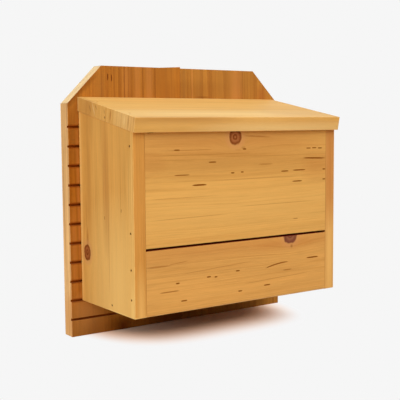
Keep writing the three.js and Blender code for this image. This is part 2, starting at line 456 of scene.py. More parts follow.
    @cached_property
    def kerf_stain(self) -> bpy.types.NodeTree:
        """Stain that soaked into a board's face beside its saw kerfs.

        Returns:
            The group, whose Mask is strongest at a kerf.
        """
        made = Effect("kerf stain", "Vector", "Face Low High", "Mask")
        tree, (vector, face, low, high) = made.tree, made.entry
        along, _, deep = tree.parts(vector)
        rows = tree.over(tree.minus(along, KERF_FIRST * MM), KERF_PITCH * MM)
        apart = tree.times(tree.math("PINGPONG", rows, 0.5), KERF_PITCH * MM)
        near = tree.ease(apart, *self.SOAKED_BESIDE, self.SOAKED, 0.0)
        shallow = tree.ease(tree.minus(deep, face), *self.SOAKED_BELOW, 1.0, 0.0)
        inside = tree.times(tree.math("GREATER_THAN", along, low), tree.math("LESS_THAN", along, high))
        return made.give(Mask=tree.times(tree.times(near, shallow), inside))

    @cached_property
    def end_grain(self) -> bpy.types.NodeTree:
        """Where a board is cut across its fibres, with the pores that show there.

        Returns:
            The group with an End mask and Pores.
        """
        made = Effect("end grain", "Vector", "Facing Side_Facing", "End Edge Pores")
        tree, (vector, facing, side_facing) = made.tree, made.entry
        end = tree.ease(tree.size(facing), 0.5, 0.72)
        edge = tree.ease(tree.size(side_facing), 0.6, 0.85)
        pores = tree.noise(vector, (200.0, 1500.0, 1500.0), 3.0)
        return made.give(End=end, Edge=edge, Pores=pores)

    @cached_property
    def steel(self) -> bpy.types.NodeTree:
        """Dull patches and fine turning lines on steel.

        Returns:
            The group with a Patches mask and the Lines' height.
        """
        made = Effect("turned steel", "Vector", "", "Patches Lines")
        tree, (place,) = made.tree, made.entry
        patches = tree.ease(tree.noise(place, (900.0, 900.0, 900.0), 3.0), 0.35, 0.65)
        return made.give(Patches=patches, Lines=tree.noise(place, (4000.0, 4000.0, 400.0), 2.0))


@dataclass
class BoardMaterial:
    """Builds the stained pine of one board from its look."""

    effects: Effects
    look: BoardLook

    AXES = {
        Lay.ACROSS: ((1.0, 0.0, 0.0), (0.0, 0.0, 1.0), (0.0, 1.0, 0.0)),
        Lay.UPRIGHT_SIDE: ((0.0, 0.0, 1.0), (0.0, 1.0, 0.0), (1.0, 0.0, 0.0)),
        Lay.UPRIGHT_BACK: ((0.0, 0.0, 1.0), (1.0, 0.0, 0.0), (0.0, 1.0, 0.0)),
        Lay.ROOF: (
            (1.0, 0.0, 0.0),
            (0.0, math.cos(ROOF_SLOPE), math.sin(ROOF_SLOPE)),
            (0.0, -math.sin(ROOF_SLOPE), math.cos(ROOF_SLOPE)),
        ),
    }
    ZERO = {
        Lay.ACROSS: (0.0, FOOT),
        Lay.UPRIGHT_SIDE: (FOOT, PLATE_FRONT),
        Lay.UPRIGHT_BACK: (FOOT, 0.0),
        Lay.ROOF: (0.0, 0.0),
    }
    LEAST_THICK = 6.0
    RAGGED = 0.3
    WORN_SHARE = 0.55
    TONE_CHANGE = 0.5
    FIBRE_CHANGE = 0.22
    FLECK_STRENGTH = 0.8
    KERF_STRENGTH = 0.9
    HALO_STRENGTH = 0.5
    PORE_TONE = (0.4, 0.78)
    GLOSS_CHANGE = 0.16
    BUMP = 0.5
    BUMP_HEIGHT = 0.4 * MM
    SPECULAR = 0.08

    def __post_init__(self) -> None:
        """Make the empty material."""
        self.material = bpy.data.materials.new(self.look.name)
        self.tree = Tree.of(self.material)

    def place(self, along: float, across: float, deep: float = 0.0) -> Triple:
        """Turn a place of the board from millimetres to metres.

        Args:
            along: How far along the grain.
            across: How far across the face.
            deep: How far below the face.

        Returns:
            The place in the board's own directions.
        """
        start, side = self.ZERO[self.look.lay]
        inward = -1.0 if self.look.outward else 1.0
        return (start + along) * MM, (side + across) * MM, (self.look.face + inward * deep) * MM

    def masks(self, vector: Socket, stain: Stain) -> Feed:
        """Gather the board's marks of one stain.

        Args:
            vector: The board's own vector.
            stain: Which marks to gather.

        Returns:
            The strongest mask of them, or 0.
        """
        gathered: Feed = 0.0
        for mark in self.look.marks:
            if mark.stain is not stain:
                continue
            thick = max(self.LEAST_THICK, mark.width / 2) if mark.thick is None else mark.thick
            mask = self.tree.group(
                self.effects.mark, Vector=vector, Place=self.place(mark.along, mark.across, mark.deep),
                Size=(mark.length * MM / 2, mark.width * MM / 2, thick * MM), Ragged=self.RAGGED,
                Soft=mark.soft, Slope=mark.slope, Bow=mark.bow * MM,
                Lean=-mark.lean if self.look.outward else mark.lean,
            )["Mask"]
            gathered = self.tree.larger(gathered, self.tree.times(mask, mark.strength))
        return gathered

    def wired_knots(self, vector: Socket) -> tuple[Socket, dict[str, Feed]]:
        """Wire the board's knots.

        Args:
            vector: The board's own vector.

        Returns:
            The grain's vector, bent round the knots, and the strongest masks by name.
        """
        tree, bent, masks = self.tree, vector, dict.fromkeys(("Halo", "Core", "Shade"), 0.0)
        for knot in self.look.knots:
            round_knot = tree.group(
                self.effects.knot, Vector=vector, Grain=bent, Place=self.place(knot.along, knot.across),
                Radius=knot.radius * MM, Squash=knot.squash,
            )
            bent = round_knot["Grain"]
            for key, mask in masks.items():
                masks[key] = tree.larger(mask, tree.times(round_knot[key], knot.strength))
        return bent, masks

    def build(self) -> bpy.types.Material:
        """Wire the material.

        Returns:
            The finished material.
        """
        tree, effects, look, finish = self.tree, self.effects, self.look, self.look.finish
        seen = tree.add("TexCoord").outputs
        axes = self.AXES[look.lay]
        vector = tree.join(*(tree.vector("DOT_PRODUCT", seen["Object"], axis) for axis in axes))
        facing, side_facing = (tree.vector("DOT_PRODUCT", seen["Normal"], axis) for axis in axes[:2])
        bent, knots = self.wired_knots(vector)
        grain = tree.group(
            effects.grain, Vector=bent, Pith=(0.0, look.pith[0] * MM, (look.face + look.pith[1]) * MM),
            Ring_Width=look.ring_width * MM, Wander=look.wander * MM, Seed=look.seed,
        )
        ends = tree.group(effects.end_grain, Vector=vector, Facing=facing, Side_Facing=side_facing)
        # Paler arrises: part wear, part painted highlight.
        wear_and_highlight = tree.group(effects.wear_and_highlight, Vector=vector, Worn_Share=self.WORN_SHARE)
        flecks = tree.group(effects.flecks, Vector=vector, Share=look.fleck_share, Seed=look.seed)["Mask"]

        color = tree.blend(ends["Edge"], finish.early, finish.edge)
        for key, contrast in (("Rings", finish.ring_contrast), ("Streaks", finish.streak_contrast)):
            color = tree.blend(tree.times(grain[key], contrast), color, finish.late)
        tone = tree.times_plus(tree.minus(grain["Tone"], 0.5), self.TONE_CHANGE, 1.0)
        color = tree.scale(color, tree.times_plus(tree.minus(grain["Fibre"], 0.5), self.FIBRE_CHANGE, tone))
        pored = tree.scale(finish.end[:3], tree.times_plus(ends["Pores"], *self.PORE_TONE))
        ringed = tree.blend(tree.times(grain["Rings"], finish.end_contrast), pored, finish.late)
        color = tree.blend(ends["End"], color, ringed)
        # Resin marks and flecks, with the painted shade marks that share their stain.
        resin = tree.larger(self.masks(vector, RESIN), tree.times(flecks, self.FLECK_STRENGTH))
        # Kerf faces include the faces in the air slot, whose dark colour there is painted shade.
        kerf = sawn = tree.times(wear_and_highlight["Kerf"], self.KERF_STRENGTH)
        if look.kerf_span is not None:
            face, low, high = (level * MM for level in (look.face, *look.kerf_span))
            soaked = tree.group(effects.kerf_stain, Vector=vector, Face=face, Low=low, High=high)["Mask"]
            kerf = tree.larger(kerf, tree.times(soaked, tree.minus(1.0, ends["Edge"])))
        for share, stained in (
            (wear_and_highlight["Arris"], finish.arris),
            (self.masks(vector, PALE), finish.pale),
            (self.masks(vector, RED), finish.red),
            (self.masks(vector, BROWN), finish.brown),
            (tree.times(knots["Halo"], self.HALO_STRENGTH), finish.halo),
            (knots["Core"], finish.knot),
            (knots["Shade"], finish.heart),
            (resin, finish.resin),
            (kerf, finish.kerf),
        ):
            color = tree.blend(share, color, stained)

        gloss = tree.times_plus(grain["Fibre"], self.GLOSS_CHANGE, finish.roughness - self.GLOSS_CHANGE / 2)
        tree.surface(
            tree.minus(grain["Height"], resin), self.BUMP, self.BUMP_HEIGHT, Base_Color=color,
            Roughness=tree.larger(gloss, sawn), Specular_IOR_Level=self.SPECULAR,
        )
        return self.material


def add_object(name: str, shape: bpy.types.ID | bmesh.types.BMesh) -> bpy.types.Object:
    """Put an object in the scene.

    Args:
        name: The object's name.
        shape: What it shows: data, or a finished bmesh, which is freed.

    Returns:
        The object.
    """
    if isinstance(shape, bmesh.types.BMesh):
        mesh, shape = shape, bpy.data.meshes.new(name)
        mesh.to_mesh(shape)
        mesh.free()
    made = bpy.data.objects.new(name, shape)
    bpy.context.scene.collection.objects.link(made)
    return made


def finish_piece(
    mesh: bmesh.types.BMesh, name: str, material: bpy.types.Material, node: str
) -> bpy.types.Object:
    """Make a shown piece of a bmesh in place of its CAD node.

    Args:
        mesh: The finished bmesh, in the row frame; it is freed.
        name: The piece's name.
        material: Its material.
        node: The CAD node it stands for.

    Returns:
        The new object, riding on the box.
    """
    piece = add_object(name, mesh)
    piece.data.materials.append(material)
    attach(piece, "root")
    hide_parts(node)
    LOG.info("%s: %d faces, for %s", name, len(piece.data.polygons), node)
    return piece


@dataclass
class Board:
    """One board: a merged copy of its CAD solid with softened arrises and marked kerfs."""

    node: str
    slot: str
    look: BoardLook
    arris: float = 0.5 * MM
    foot_arris: float | None = None
    segments: int = 3
    kerf_front: float | None = None
    kerf_depth: float = 3.0 * MM
    slot_level: float | None = None
    joint: float | None = None
    glue: float = 0.0

    NEAR = 0.1 * MM
    MERGED = 1e-6
    SHORT_EDGE = 6 * MM
    BLUNT = math.radians(20)
    FLAT = math.radians(0.5)
    SQUARE = 0.9
    SLACK = 0.1
    FOOTWARD = -0.5

    def at_joint(self, vertex: bmesh.types.BMVert) -> bool:
        """Tell whether a corner lies on the face that is joined to another board."""
        return self.joint is not None and abs(abs(vertex.co.x) - self.joint) < self.NEAR

    def in_kerf(self, face: bmesh.types.BMFace) -> bool:
        """Find the faces of a saw kerf or of the air slot.

        Args:
            face: A face of the board.

        Returns:
            Whether it is a kerf's wall or floor, or lies in the air slot.
        """
        if self.slot_level is not None:
            return abs(face.calc_center_median().z - self.slot_level) < self.NEAR
        if self.kerf_front is None:
            return False
        depth = face.calc_center_median().y - self.kerf_front
        level = abs(face.normal.z) > self.SQUARE or face.normal.y < -self.SQUARE
        return level and self.SLACK < depth / self.kerf_depth < 1 + self.SLACK

    def is_arris(self, edge: bmesh.types.BMEdge) -> bool:
        """Find the edges to round.

        Args:
            edge: An edge of the board.

        Returns:
            Whether it is one of the board's outer corners.
        """
        if len(edge.link_faces) != 2 or edge.calc_length() < self.SHORT_EDGE or not edge.is_convex:
            return False
        if edge.calc_face_angle() < self.BLUNT:
            return False
        first, second = edge.verts
        if self.at_joint(first) and self.at_joint(second) and first.co.x * second.co.x > 0:
            return False
        return not any(self.in_kerf(face) for face in edge.link_faces)

    def is_foot(self, edge: bmesh.types.BMEdge) -> bool:
        """Tell whether an edge is an outer corner at the bottom of the front."""
        looks = sum((face.normal for face in edge.link_faces), Vector()).normalized()
        return self.is_arris(edge) and max(looks.z, looks.y) < self.FOOTWARD

    def soften(self, mesh: bmesh.types.BMesh, edges: list[bmesh.types.BMEdge], reach: float) -> None:
        """Round some edges and mark the rounded faces.

        Args:
            mesh: The board.
            edges: The edges to round.
            reach: How far the rounding reaches into each face.
        """
        rounded = bmesh.ops.bevel(
            mesh, geom=edges, offset=reach, offset_type="OFFSET", affect="EDGES", segments=self.segments,
            profile=0.5, material=-1, clamp_overlap=False,
        )
        arris, kerf = (mesh.faces.layers.float[name] for name in ("arris", "kerf"))
        for face in rounded["faces"]:
            face[arris] = 1.0
            face[kerf] = 0.0
            face.smooth = True

    def build(self, effects: Effects) -> bpy.types.Object:
        """Build and dress the board.

        Args:
            effects: The shared node groups.

        Returns:
            The finished piece.
        """
        mesh = bmesh.new()
        mesh.from_mesh(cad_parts[self.node].data)
        bmesh.ops.remove_doubles(mesh, verts=mesh.verts, dist=self.MERGED)
        bmesh.ops.dissolve_limit(mesh, angle_limit=self.FLAT, verts=mesh.verts, edges=mesh.edges)
        arris = mesh.faces.layers.float.new("arris")
        kerf = mesh.faces.layers.float.new("kerf")
        mesh.normal_update()
        for face in mesh.faces:
            face[kerf] = 1.0 if self.in_kerf(face) else 0.0
        for vertex in mesh.verts:
            if self.at_joint(vertex):
                vertex.co.x += self.glue
        if self.foot_arris is not None:
            self.soften(mesh, [edge for edge in mesh.edges if self.is_foot(edge)], self.foot_arris)
            mesh.normal_update()
        sharp = [edge for edge in mesh.edges if not any(face[arris] for face in edge.link_faces)]
        self.soften(mesh, [edge for edge in sharp if self.is_arris(edge)], self.arris)
        material = BoardMaterial(effects, self.look).build()
        return finish_piece(mesh, f"{self.node}_wood", material, self.node)


@dataclass
class BackPlate:
    """The grooved back plate of two upright boards."""

    kerf_span: tuple[float, float] = (35.0 + FOOT, 290.0 + FOOT)
    arris: float = 0.4 * MM
    glue_share: float = 0.45
    finish: PineFinish = PineFinish(
        early=tint(194, 123, 39), late=tint(140, 70, 8), end=tint(255, 223, 166), edge=tint(255, 205, 136),
        brown=tint(144, 96, 46), red=tint(168, 88, 34), pale=tint(220, 147, 72), arris=tint(158, 90, 30),
        ring_contrast=0.42, streak_contrast=0.5,
    )
    left_marks: tuple[Mark, ...] = (
        *marks(
            RESIN,
            (342.8, -117.9, 10, 1.9, 0.9), (341.6, -112.3, 10, 1.9, 0.9), (337, -101.1, 110, 1.8, 0.35),
            (332, -92.8, 110, 2.4, 0.4), (337, -86.7, 110, 1.8, 0.3), (332, -63.6, 120, 1.6, 0.5),
            (337, -44.3, 120, 2, 0.45),
        ),
        # Painted shadow: the next two lines darken the plate's bottom strip under the box, where the box's
        # shade falls.
        *marks(RESIN, (2, -100, 36, 60, 0.95), soft=0.95),
        *marks(RESIN, (16, -88, 50, 12, 0.3), (6, -20, 60, 200, 0.8), soft=0.9),
        # The first mark here is painted shade, darkening the plate just above the roof.
        *marks(RESIN, (326, 22, 36, 130, 0.2), (321, -162, 60, 18, 0.55, 1.0), soft=0.95, thick=2),
        # The first mark here is painted shade: it darkens the whole top of the left board above the roof.
        *marks(BROWN, (342, -60, 90, 280, 0.3), (332, -132, 80, 50, 0.35), soft=0.95, thick=2),
        *marks(BROWN, (322, -128, 90, 24, 0.4), (280, -170, 120, 20, 0.35), soft=0.9, thick=2),
        *marks(BROWN, (337, -20.5, 120, 34, 0.3), soft=0.6),
        *marks(BROWN, (260, -177.5, 260, 6, 0.26), soft=0.95, deep=10, thick=16),
        *marks(PALE, (337, -72.5, 120, 13, 0.4), (337, -54, 120, 15, 0.45), soft=0.6),
        # In this group the mark at -164.5 is painted light that lifts the shade in the strip beside the side
        # board, and the mark at -177.4 is a painted highlight along the plate's front left arris.
        *marks(
            PALE,
            (342, -90, 70, 18, 0.4), (180, -164.5, 300, 7, 0.55), (110, -172, 160, 14, 0.55),
            (30, -177.4, 110, 3, 0.8),
            soft=0.9, thick=2,
        ),
        # Painted light and shade under the box: the two pale marks lighten the box's shade on the plate's
        # lower left, and the red mark gives the shade at the bottom a redder tone.
        *marks(PALE, (28, -156, 76, 80, 0.95), soft=0.9),
        *marks(PALE, (38, -132, 14, 36, 0.5), soft=0.95),
        *marks(RED, (4, -132, 40, 60, 0.3), soft=0.95),
    )
    right_marks: tuple[Mark, ...] = (
        *marks(RESIN, (337, 51, 120, 2, 0.3), (337, 108, 120, 2, 0.25)),
        *marks(RESIN, (318, 35, 3, 46, 0.5), soft=0.8),
        # Painted shadow: darkens the plate's bottom strip under the box, where the box's shade falls.
        *marks(RESIN, (6, -20, 60, 260, 0.7), soft=0.9),
        # Painted shade, darkening the plate just above the roof.
        *marks(RESIN, (326, 22, 36, 130, 0.2), soft=0.95, thick=2),
        *marks(BROWN, (333.5, 153.5, 80, 9, 0.6, -1.0), (337, 4, 120, 12, 0.4), soft=0.8),
        # Painted shade: darkens the whole top of the right board above the roof.
        *marks(BROWN, (342, 80, 90, 260, 0.35), soft=0.95),
        *marks(BROWN, (337, 30, 120, 22, 0.35), soft=0.6),
        *marks(PALE, (337, 17.7, 120, 2.4, 0.6)),
        *marks(PALE, (337, 96, 120, 30, 0.65), soft=0.8, thick=2),
        *marks(RED, (320, 144, 40, 24, 0.5), soft=0.9),
    )

    def build(self, effects: Effects) -> list[bpy.types.Object]:
        """Build both boards.

        Args:
            effects: The shared node groups.

        Returns:
            The pieces.
        """
        left = BoardLook(
            "back left pine", Lay.UPRIGHT_BACK, self.finish, PLATE_FRONT, pith=(-40.0, 160.0),
            ring_width=3.4, seed=0.31, kerf_span=self.kerf_span, marks=self.left_marks,
        )
        right = replace(
            left, name="back right pine", finish=replace(self.finish, early=tint(200, 136, 54)),
            pith=(90.0, 160.0), seed=0.77, marks=self.right_marks,
        )
        nodes = ("back_board_left", "back_board_right")
        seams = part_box(nodes[0])[1].x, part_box(nodes[1])[0].x
        glue = self.glue_share * (seams[1] - seams[0])
        made = []
        for node, look, seam, inward in zip(nodes, (left, right), seams, (1.0, -1.0)):
            board = Board(node, "back_boards", look, self.arris, joint=abs(seam), glue=inward * glue)
            board.kerf_front = PLATE_FRONT * MM
            made.append(board.build(effects))
        return made


@dataclass
class BoxWalls:
    """The two sides and the two front boards."""

    front_joint: float = 145.7 * MM
    side_joint: float = 146.0 * MM
    front_foot: float = 2.0 * MM
    side_foot: float = 1.2 * MM
    finish: PineFinish = PineFinish(
        early=tint(226, 171, 90), late=tint(182, 116, 42), end=tint(214, 154, 76), edge=tint(216, 152, 72),
        resin=tint(136, 74, 2), red=tint(196, 126, 60), ring_contrast=0.15, streak_contrast=0.32,
    )
    upper_marks: tuple[Mark, ...] = (
        *marks(
            RESIN,
            (3.8, 247.4, 6, 2.2), (-47, 232.2, 13, 1.9), (-15.5, 217.5, 6, 2), (0, 218, 5, 1.9),
            (-67.1, 204.5, 23, 2.5), (-93.1, 217.7, 24, 1.7, 0.8), (-100.1, 248.4, 9, 1.8),
            (114, 246.1, 9, 1.7), (124.4, 246.3, 9, 1.7), (135, 245.8, 9, 1.7), (71.7, 216.5, 14, 1.9),
            (124.5, 232.4, 42, 2.2, 1.0, -0.03), (97.3, 217, 24, 2), (93.8, 202.2, 19, 1.9),
            (142.6, 216.7, 6, 2), (142.8, 202.8, 6, 2), (91, 151.5, 9, 1.7, 0.5),
            # The two marks on the next line sit on the top edge as painted shade of the gap under the roof.
            (-45.2, 271.2, 6, 2.6, 0.7), (124, 271.2, 13, 2.6, 0.7),
        ),
        # Painted shade: dark spots along the top edge, in the gap under the roof.
        *marks(RESIN, (-138, 270.8, 13, 3.4), soft=0.6),
        *marks(RESIN, (-112, 271.3, 50, 2.4, 0.6), soft=0.8),
        *marks(BROWN, (-80, 248, 70, 1.2, 0.6), (-60, 242, 170, 1.1, 0.5)),
        *marks(
            BROWN,
            (38.9, 227, 34, 5, 0.6), (24, 263.4, 52, 3, 0.6, -0.05), (2, 249, 8, 5, 0.4),
            (-7, 246.5, 12, 3, 0.3),
            soft=0.8,
        ),
        *marks(
            BROWN,
            (40, 238, 200, 1.3, 0.45, -0.01), (-70, 236, 150, 1.2, 0.4, -0.01), (30, 209, 180, 1.3, 0.4),
            (-90, 190, 110, 1.2, 0.35), (-80, 165, 130, 1.4, 0.4, 0.01), (60, 174, 150, 1.3, 0.35),
            soft=0.6,
        ),
        *marks(BROWN, (0, 229, 560, 46, 0.3), soft=0.95),
        # The first red mark is painted shade: it darkens the top of the board under the roof's overhang.
        *marks(
            RED, (-20, 258, 420, 56, 0.5), (-142, 243, 70, 56, 0.35), (132, 222, 70, 60, 0.35),
            soft=0.95,
        ),
        *marks(PALE, (0, 170, 500, 96, 0.38), (120, 178, 130, 60, 0.35), soft=0.95),
    )
    lower_marks: tuple[Mark, ...] = (
        *marks(
            RESIN,
            (-7.9, 90.4, 7, 2.1), (-53.7, 87.6, 7, 2), (-42.7, 86.4, 5, 1.9), (122, 95.5, 23, 2.3),
            (58, 91, 42, 2, 0.9, 0.13, 1.5), (76.5, 82.9, 16, 1.7, 0.6), (41, 66.2, 12, 2),
            (-3.9, 63.5, 7, 1.9), (-91.6, 61.9, 10, 1.9), (-100.8, 84.7, 6, 2.1), (-113, 75.5, 30, 1.6, 0.7),
        ),
        *marks(RESIN, (84, 114.5, 5, 6, 0.5), soft=0.8),
        *marks(BROWN, (-128, 108, 38, 3, 0.6), soft=0.8),
        *marks(BROWN, (-100, 110, 30, 1.2, 0.5, 0.08), (-40, 98, 120, 1.2, 0.4, 0.05)),
        *marks(BROWN, (60, 74, 120, 1.2, 0.4, 0.03)),
        *marks(RED, (70, 120, 170, 26, 0.6), (0, 124, 560, 40, 0.4), soft=0.95),
        *marks(RED, (20, 126, 300, 8, 0.4), soft=0.9),
    )
    left_marks: tuple[Mark, ...] = (
        *marks(RESIN, (176.1, -108.3, 5, 2.2, 0.5), (163.7, -66.3, 5, 2.2, 0.5)),
        *marks(
            BROWN,
            (176, -76, 240, 2.4, 0.6), (202, -43, 160, 2, 0.35), (212, -64.5, 120, 2.4, 0.5),
            (212, -107.5, 120, 2.4, 0.35), (217, -126.7, 120, 2, 0.35),
            soft=0.7,
        ),
        *marks(
            BROWN, (217, -71, 220, 24, 0.45), (217, -25, 240, 24, 0.4), (285, -25, 100, 40, 0.35),
            soft=0.95,
        ),
        *marks(BROWN, (128, -19, 54, 10, 0.75), (167, -17, 70, 8, 0.4), soft=0.9),
        # The marks at -129, -133 and -134 along the front corner, at -3.5 along the rear edge and at 49 along
        # the bottom edge are painted highlights; the wide mark at 62 is painted light that makes the side
        # lighter toward the bottom.
        *marks(PALE, (122, -129, 260, 22, 0.4), (40, -133, 160, 24, 0.9), soft=0.95, thick=0.8),
        *marks(PALE, (152, -134, 340, 5, 0.6), soft=0.8, thick=0.8),
        *marks(PALE, (182, -3.5, 340, 9, 0.5), soft=0.7),
        *marks(PALE, (62, -99, 280, 190, 0.62), soft=0.95, thick=1),
        *marks(PALE, (20, -138, 200, 6, 0.45), soft=0.95, deep=9, thick=9),
        *marks(PALE, (49, -100, 4, 130, 0.8), soft=0.8),
    )
    right_marks: tuple[Mark, ...] = (
        *marks(RED, (236, -138, 220, 30, 0.75), soft=0.95, deep=8),
        *marks(PALE, (90, -138, 180, 12, 0.7), soft=0.9, deep=8, thick=10),
    )

    def build(self, effects: Effects) -> list[bpy.types.Object]:
        """Build the four boards.

        Args:
            effects: The shared node groups.

        Returns:
            The pieces.
        """
        # On the fronts the kerf colour falls only on the faces in the air slot: painted shade inside the
        # slot.
        upper = BoardLook(
            "upper front pine", Lay.ACROSS, replace(self.finish, kerf=tint(150, 36, 4)), BOX_FRONT,
            pith=(60.0, 110.0), ring_width=3.0, seed=0.12, fleck_share=0.0,
            knots=(Knot(-11.0, 263.0, 10.2, squash=1.02, strength=0.92),), marks=self.upper_marks,
        )
        lower_finish = replace(
            upper.finish, early=tint(222, 165, 88), knot=tint(138, 80, 58), heart=tint(116, 62, 44)
        )
        lower = replace(
            upper, name="lower front pine", finish=lower_finish, pith=(-220.0, 80.0), seed=0.58,
            knots=(Knot(81.7, 129.0, 10.8, squash=0.9, strength=0.85),), marks=self.lower_marks,
        )
        # The left side's pale colour is mostly that of its painted highlights and painted light.
        left_finish = replace(
            self.finish, early=tint(226, 169, 86), brown=tint(176, 110, 44), pale=tint(255, 212, 128),
            ring_contrast=0.12, streak_contrast=0.3,
        )
        left = BoardLook(
            "left side pine", Lay.UPRIGHT_SIDE, left_finish, -BOX_SIDE, pith=(-70.0, 220.0), ring_width=4.0,
            seed=0.43, fleck_share=0.0, knots=(Knot(114.3, -17.6, 8.9, squash=0.83),),
            marks=self.left_marks,
        )
        right = BoardLook(
            "right side pine", Lay.UPRIGHT_SIDE, replace(self.finish, edge=tint(219, 161, 88)), BOX_SIDE,
            outward=True, pith=(-90.0, -160.0), ring_width=3.6, seed=0.91, marks=self.right_marks,
        )
        above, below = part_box("upper_front")[0].z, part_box("lower_front")[1].z
        front = Board("upper_front", "box_boards", upper, joint=self.front_joint, slot_level=above)
        side = Board("side_board_left", "box_boards", left, joint=self.side_joint, foot_arris=self.side_foot)
        boards = (
            front,
            replace(front, node="lower_front", look=lower, foot_arris=self.front_foot, slot_level=below),
            side,
            replace(side, node="side_board_right", look=right),
        )
        return [board.build(effects) for board in boards]


@dataclass
class Roof:
    """The sloping roof board."""

    top_level: float = 138.75
    arris: float = 0.4 * MM
    finish: PineFinish = PineFinish(
        early=tint(226, 178, 102), late=tint(202, 140, 62), end=tint(230, 176, 94), edge=tint(224, 168, 82),
        brown=tint(172, 108, 44), pale=tint(252, 222, 158), arris=tint(240, 194, 116), ring_contrast=0.4,
        streak_contrast=0.45, end_contrast=0.7,
    )
    marks: tuple[Mark, ...] = (
        *marks(RESIN, (-163.5, -32.3, 6, 3.4, 0.5), soft=0.8, deep=8.5, thick=6, lean=-0.7),
        *marks(RESIN, (-163.5, -48.1, 5, 3.6, 0.45), soft=0.7, deep=4.6, thick=3.5, lean=-1),
        *marks(RESIN, (-163.5, -70.3, 5, 3, 0.4), soft=0.7, deep=6, thick=4, lean=-0.5),
        *marks(RESIN, (-163.5, -72.3, 5, 4, 0.6), soft=0.6, deep=13, thick=2),
        *marks(BROWN, (-163.5, -86, 5, 4, 0.7), soft=0.7, deep=8, thick=9),
        *marks(BROWN, (-163.5, -130, 5, 4, 0.5), soft=0.8, deep=8, thick=12),
        *marks(BROWN, (-163.5, -22, 14, 80, 0.45), soft=0.9, deep=8),
        *marks(BROWN, (110, -120, 140, 70, 0.22), soft=0.95),
        *marks(BROWN, (-100, -144.5, 200, 16, 0.45), soft=0.95, deep=2, thick=8),
        *marks(PALE, (-163.5, -42, 5, 4, 0.6), soft=0.8, deep=8, thick=10, lean=-0.7),
        *marks(PALE, (-163.5, -120, 5, 7, 0.5), soft=0.8, deep=8, thick=12),
        *marks(PALE, (-163.5, 1, 10, 6, 0.2), soft=0.6, deep=8, thick=12),
        # Painted sheen: these two make the roof's top paler toward its front, and its front face paler.
        *marks(PALE, (-20, -120, 480, 80, 0.45), soft=0.95),
        *marks(PALE, (60, -144.5, 360, 16, 0.5), soft=0.95, deep=14, thick=14),
    )

    def build(self, effects: Effects) -> list[bpy.types.Object]:
        """Build the roof.

        Args:
            effects: The shared node groups.

        Returns:
            The piece, in a list.
        """
        look = BoardLook(
            "roof pine", Lay.ROOF, self.finish, self.top_level, outward=True, pith=(420.0, -8.0),
            ring_width=6.0, wander=3.0, seed=0.66, fleck_share=0.03, marks=self.marks,
        )
        return [Board("roof", "roof_board", look, self.arris).build(effects)]


@dataclass
class Roosts:
    """The two kerfed roost boards inside the box."""

    arris: float = 0.4 * MM
    finish: PineFinish = PineFinish(
        early=tint(206, 146, 70), late=tint(160, 94, 34), end=tint(208, 146, 72), edge=tint(206, 146, 70)
    )

    def build(self, effects: Effects) -> list[bpy.types.Object]:
        """Build both roost boards.

        Args:
            effects: The shared node groups.

        Returns:
            The pieces.
        """
        made = []
        for node, seed in (("rear_roost", 0.2), ("front_roost", 0.7)):
            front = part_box(node)[0].y
            look = BoardLook(f"{node} pine", Lay.ACROSS, self.finish, front / MM, seed=seed)
            made.append(Board(node, "roost_boards", look, self.arris, kerf_front=front).build(effects))
        return made


@dataclass(frozen=True)
class SteelFinish:
    """The colour and gloss of one kind of fastener."""

    name: str
    bright: Color
    dull: Color
    roughness: float
    roughness_change: float = 0.25
    metallic: float = 0.85
    bump: float = 0.3
    bump_height: float = 0.1 * MM

    def build(self, effects: Effects) -> bpy.types.Material:
        """Build the finish.

        Args:
            effects: The shared node groups.

        Returns:
            A metal material with fine turning lines and dull patches.
        """
        material = bpy.data.materials.new(self.name)
        tree = Tree.of(material)
        steel = tree.group(effects.steel, Vector=tree.add("TexCoord").outputs["Object"])
        tree.surface(
            steel["Lines"], self.bump, self.bump_height,
            Base_Color=tree.blend(steel["Patches"], self.bright, self.dull), Metallic=self.metallic,
            Roughness=tree.times_plus(steel["Lines"], self.roughness_change, self.roughness),
        )
        return material


def head_place(node: str, outward: Vector) -> Matrix:
    """Find where a fastener's head is, and turn +Z outwards there.

    Args:
        node: The fastener's CAD node.
        outward: The way its head faces.

    Returns:
        The place of the middle of the head's top.
    """
    points = [vertex.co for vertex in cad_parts[node].data.vertices]
    level = max(point.dot(outward) for point in points) - HEAD_TOP
    rim = {tuple(round(value, 6) for value in point) for point in points if point.dot(outward) > level}
    low = Vector(min(point[axis] for point in rim) for axis in range(3))
    high = Vector(max(point[axis] for point in rim) for axis in range(3))
    turn = outward.to_track_quat("Z", "Y").to_matrix().to_4x4()
    return Matrix.Translation((low + high) / 2) @ turn


def turned(profile: Profile, steps: int) -> bmesh.types.BMesh:
    """Turn a profile about Z.

    Args:
        profile: Radius and height pairs in metres, from the point to the head.
        steps: How many steps go round.

    Returns:
        The closed solid.
    """
    mesh = bmesh.new()
    rings = [mesh.verts.new((radius, 0.0, height)) for radius, height in profile]
    edges = [mesh.edges.new(pair) for pair in zip(rings, rings[1:])]
    bmesh.ops.spin(
        mesh, geom=rings + edges, cent=(0, 0, 0), axis=(0, 0, 1), angle=math.tau, steps=steps, use_merge=True
    )
    bmesh.ops.remove_doubles(mesh, verts=mesh.verts, dist=SAME_POINT)
    bmesh.ops.recalc_face_normals(mesh, faces=mesh.faces)
    for face in mesh.faces:
        face.smooth = True
    return mesh


